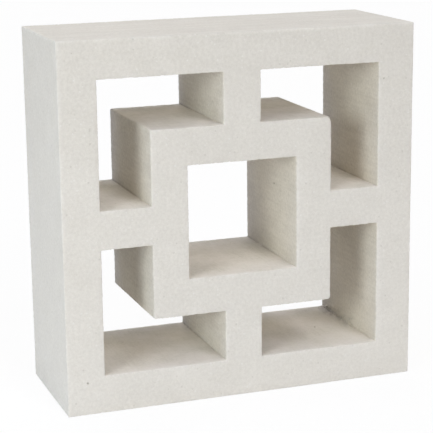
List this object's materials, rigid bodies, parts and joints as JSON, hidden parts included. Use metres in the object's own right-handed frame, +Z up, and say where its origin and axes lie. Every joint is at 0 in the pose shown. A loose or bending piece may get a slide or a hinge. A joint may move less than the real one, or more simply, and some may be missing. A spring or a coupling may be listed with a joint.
{
  "type": "decorative screen block",
  "caption": "Square cast concrete screen block: a frame and an inner square ring joined by short spokes, open right through for light and air, laid in pierced walls.",
  "frame": {"origin": "middle of the bed face, on the plane that the block stands on", "axes": "+X along the face to the right, +Y through the depth from front to back, +Z up"},
  "size_m": [0.29, 0.11, 0.29],
  "materials": {
    "white_concrete": "matt cast surface with fine sandy grain, warm white"
  },
  "bodies": {
    "root": {"screen_block": "white_concrete"}
  },
  "joints": []
}
